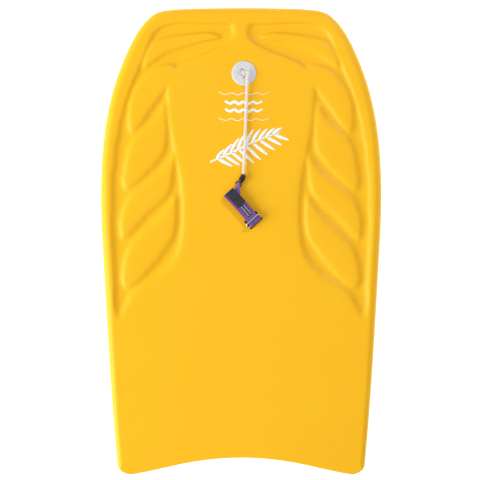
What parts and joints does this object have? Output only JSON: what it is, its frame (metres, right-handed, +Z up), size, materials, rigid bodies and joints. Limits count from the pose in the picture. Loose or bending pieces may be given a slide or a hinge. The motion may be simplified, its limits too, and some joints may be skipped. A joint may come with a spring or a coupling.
{
  "type": "bodyboard",
  "caption": "Short foam bodyboard with a straight nose, crescent tail and moulded finger wings in the deck, a leash plug and a wrist leash with a closing cuff.",
  "frame": {"origin": "middle of the board's length and width, on the flat bottom it lies on", "axes": "+Y towards the nose, +Z up out of the deck, +X to the right of someone looking down on the deck with the nose away from them"},
  "size_m": [0.5, 0.83, 0.0577],
  "materials": {
    "core_foam": "white bead foam, low sheen",
    "deck_foam": "yellow closed-cell foam skin, soft satin, fine pores",
    "slick": "smooth white polyethylene sheet",
    "plug_plastic": "milky moulded plastic",
    "string": "white braided nylon",
    "clear_tube": "clear urethane tube",
    "swivel_plastic": "black moulded plastic",
    "purple_webbing": "purple woven webbing",
    "black_webbing": "black woven webbing",
    "neoprene": "black neoprene with a knitted face",
    "hook_and_loop": "black hook-and-loop tape",
    "ring_metal": "plated steel wire"
  },
  "bodies": {
    "board": {"foam_core": "core_foam", "deck_skin": "deck_foam", "bottom_slick": "slick", "tail_strip": "deck_foam", "plug_top": "plug_plastic", "plug_sleeve": "plug_plastic", "plug_string": "string"},
    "leash_loop": {"leash_knot": "string"},
    "leash": {"leash_tube": "clear_tube", "leash_string": "string", "swivel_barrel": "swivel_plastic"},
    "swivel": {"swivel_pin": "swivel_plastic"},
    "cuff": {"cuff_tab": "purple_webbing", "cuff_band": "purple_webbing", "cuff_lining": "neoprene", "ring_pad": "black_webbing", "loop_patch": "hook_and_loop"},
    "ring": {"cuff_ring": "ring_metal"},
    "flap": {"closing_flap": "hook_and_loop", "hook_patch": "hook_and_loop"}
  },
  "joints": [
    {"name": "leash_swing", "type": "hinge", "parent": "board", "child": "leash_loop", "pos_m": [0.0035, 0.2979, 0.0513], "axis": [0, 0, 1], "range_deg": [-40, 40]},
    {"name": "leash_lift", "type": "hinge", "parent": "leash_loop", "child": "leash", "pos_m": [0.011, 0.2994, 0.0513], "axis": [-0.9994, 0.036, 0], "range_deg": [0, 90]},
    {"name": "swivel_spin", "type": "hinge", "parent": "leash", "child": "swivel", "pos_m": [0.0032, 0.1116, 0.0513], "axis": [-0.5669, -0.8238, 0], "range_deg": [0, 180]},
    {"name": "cuff_fold", "type": "hinge", "parent": "swivel", "child": "cuff", "pos_m": [-0.0053, 0.09924, 0.0513], "axis": [-0.8238, 0.5669, 0], "range_deg": [0, 90]},
    {"name": "ring_tilt", "type": "hinge", "parent": "cuff", "child": "ring", "pos_m": [0.02505, 0.03368, 0.0513], "axis": [0.7325, 0.6807, 0], "range_deg": [0, 75]},
    {"name": "flap_peel", "type": "hinge", "parent": "cuff", "child": "flap", "pos_m": [-0.02158, 0.0868, 0.05645], "axis": [-0.7325, -0.6807, 0], "range_deg": [0, 120]}
  ],
  "couplings": [
    {"joint": "swivel_spin", "follows": "leash_lift", "ratio": 1.9}
  ]
}
